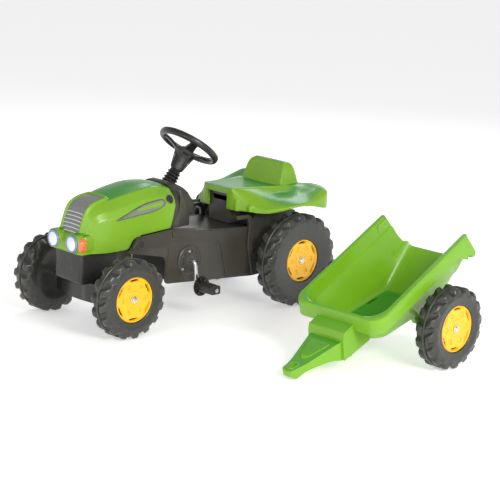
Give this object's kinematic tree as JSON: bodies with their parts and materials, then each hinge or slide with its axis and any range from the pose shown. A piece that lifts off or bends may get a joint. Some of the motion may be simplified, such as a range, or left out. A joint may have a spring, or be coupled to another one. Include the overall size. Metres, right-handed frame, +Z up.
{
  "type": "pedal tractor with trailer",
  "caption": "Child's ride-on pedal tractor with green bonnet and seat, chunky tyres and yellow wheel discs, beside its matching tipping trailer.",
  "frame": {"origin": "bottom centre of the bounding box of tractor and trailer together, on the floor", "axes": "+X is the tractor's forward direction, +Y its left, the side the trailer stands on, +Z up"},
  "size_m": [0.872, 1.105, 0.5238],
  "materials": {
    "green_plastic": "glossy bright green blow-moulded plastic",
    "yellow_plastic": "glossy yellow moulded plastic",
    "dark_plastic": "satin dark grey-brown moulded plastic",
    "tyre_plastic": "satin dark grey hollow blow-moulded plastic tyre",
    "black_plastic": "satin black moulded plastic",
    "silver_plastic": "silver-grey film on plastic",
    "white_lens": "glossy white lamp sticker with a bluish ring",
    "orange_lens": "glossy orange lamp sticker",
    "bright_steel": "bright plated steel",
    "plain_steel": "plain zinc-plated steel"
  },
  "bodies": {
    "chassis_body": {"chassis_side_left": "dark_plastic", "chassis_side_right": "dark_plastic", "chassis_deck": "dark_plastic", "nose_block": "dark_plastic", "nose_bridge": "dark_plastic", "kingpin": "plain_steel", "bonnet": "green_plastic", "grille": "silver_plastic", "headlight_left": "white_lens", "headlight_right": "white_lens", "indicator_left": "orange_lens", "indicator_right": "orange_lens", "bonnet_plug_left": "black_plastic", "bonnet_plug_right": "black_plastic", "column_bellows": "black_plastic", "console": "dark_plastic", "drive_chain": "plain_steel", "crank_cover_left": "dark_plastic", "crank_cover_right": "dark_plastic", "seat": "green_plastic", "seat_column": "dark_plastic", "hitch_bracket": "dark_plastic"},
    "steering": {"steering_wheel": "black_plastic", "steering_shaft": "plain_steel"},
    "front_axle_body": {"front_axle_beam": "dark_plastic", "front_axle": "plain_steel", "front_left_axle_cap": "bright_steel", "front_right_axle_cap": "bright_steel"},
    "front_left_wheel": {"front_left_tyre": "tyre_plastic", "front_left_disc": "yellow_plastic"},
    "front_right_wheel": {"front_right_tyre": "tyre_plastic", "front_right_disc": "yellow_plastic"},
    "rear_axle_body": {"rear_axle": "plain_steel", "rear_sprocket": "plain_steel", "rear_left_tyre": "tyre_plastic", "rear_left_disc": "yellow_plastic", "rear_left_axle_cap": "bright_steel", "rear_right_axle_cap": "bright_steel"},
    "rear_right_wheel": {"rear_right_tyre": "tyre_plastic", "rear_right_disc": "yellow_plastic"},
    "crank_body": {"crank": "bright_steel", "chainring": "plain_steel"},
    "pedal_left_body": {"pedal_left": "black_plastic"},
    "pedal_right_body": {"pedal_right": "black_plastic"},
    "hitch_pin_body": {"hitch_pin": "plain_steel"},
    "trailer_axle_body": {"trailer_axle": "plain_steel", "trailer_left_axle_cap": "bright_steel", "trailer_right_axle_cap": "bright_steel"},
    "trailer_tub_body": {"trailer_tub": "green_plastic"},
    "trailer_left_wheel": {"trailer_left_tyre": "tyre_plastic", "trailer_left_disc": "yellow_plastic"},
    "trailer_right_wheel": {"trailer_right_tyre": "tyre_plastic", "trailer_right_disc": "yellow_plastic"}
  },
  "joints": [
    {"name": "steering_turn", "type": "hinge", "parent": "chassis_body", "child": "steering", "pos_m": [-0.02403, -0.33947, 0.465], "axis": [-0.5878, 0, 0.809], "range_deg": [-45, 45]},
    {"name": "front_axle_turn", "type": "hinge", "parent": "chassis_body", "child": "front_axle_body", "pos_m": [0.32697, -0.33947, 0.10906], "axis": [0, 0, 1], "range_deg": [-15, 15]},
    {"name": "front_left_spin", "type": "hinge", "parent": "front_axle_body", "child": "front_left_wheel", "pos_m": [0.32697, -0.16647, 0.10906], "axis": [0, 1, 0], "continuous": true},
    {"name": "front_right_spin", "type": "hinge", "parent": "front_axle_body", "child": "front_right_wheel", "pos_m": [0.32697, -0.51247, 0.10906], "axis": [0, 1, 0], "continuous": true},
    {"name": "rear_axle_spin", "type": "hinge", "parent": "chassis_body", "child": "rear_axle_body", "pos_m": [-0.29503, -0.33947, 0.13583], "axis": [0, 1, 0], "continuous": true},
    {"name": "rear_right_spin", "type": "hinge", "parent": "rear_axle_body", "child": "rear_right_wheel", "pos_m": [-0.29503, -0.51947, 0.13583], "axis": [0, 1, 0], "continuous": true},
    {"name": "crank_spin", "type": "hinge", "parent": "chassis_body", "child": "crank_body", "pos_m": [0.04997, -0.33947, 0.162], "axis": [0, 1, 0], "continuous": true},
    {"name": "pedal_left_spin", "type": "hinge", "parent": "crank_body", "child": "pedal_left_body", "pos_m": [0.03981, -0.16647, 0.09476], "axis": [0, 1, 0], "continuous": true},
    {"name": "pedal_right_spin", "type": "hinge", "parent": "crank_body", "child": "pedal_right_body", "pos_m": [0.06013, -0.51247, 0.22924], "axis": [0, 1, 0], "continuous": true},
    {"name": "hitch_pin_lift", "type": "slide", "parent": "chassis_body", "child": "hitch_pin_body", "axis": [0, 0, 1], "range_m": [0, 0.035]},
    {"name": "trailer_roll", "type": "slide", "parent": "chassis_body", "child": "trailer_axle_body", "axis": [0.9995, 0.0314, 0], "range_m": [-0.15, 0.15]},
    {"name": "trailer_tip", "type": "hinge", "parent": "trailer_axle_body", "child": "trailer_tub_body", "pos_m": [-0.17503, 0.33653, 0.10906], "axis": [0.0314, -0.9995, 0], "range_deg": [0, 60]},
    {"name": "trailer_left_spin", "type": "hinge", "parent": "trailer_axle_body", "child": "trailer_left_wheel", "pos_m": [-0.18075, 0.51844, 0.10906], "axis": [-0.0314, 0.9995, 0], "continuous": true},
    {"name": "trailer_right_spin", "type": "hinge", "parent": "trailer_axle_body", "child": "trailer_right_wheel", "pos_m": [-0.16931, 0.15462, 0.10906], "axis": [-0.0314, 0.9995, 0], "continuous": true}
  ],
  "couplings": [
    {"joint": "front_axle_turn", "follows": "steering_turn", "ratio": 0.33333},
    {"joint": "crank_spin", "follows": "rear_axle_spin", "ratio": 0.66667}
  ]
}
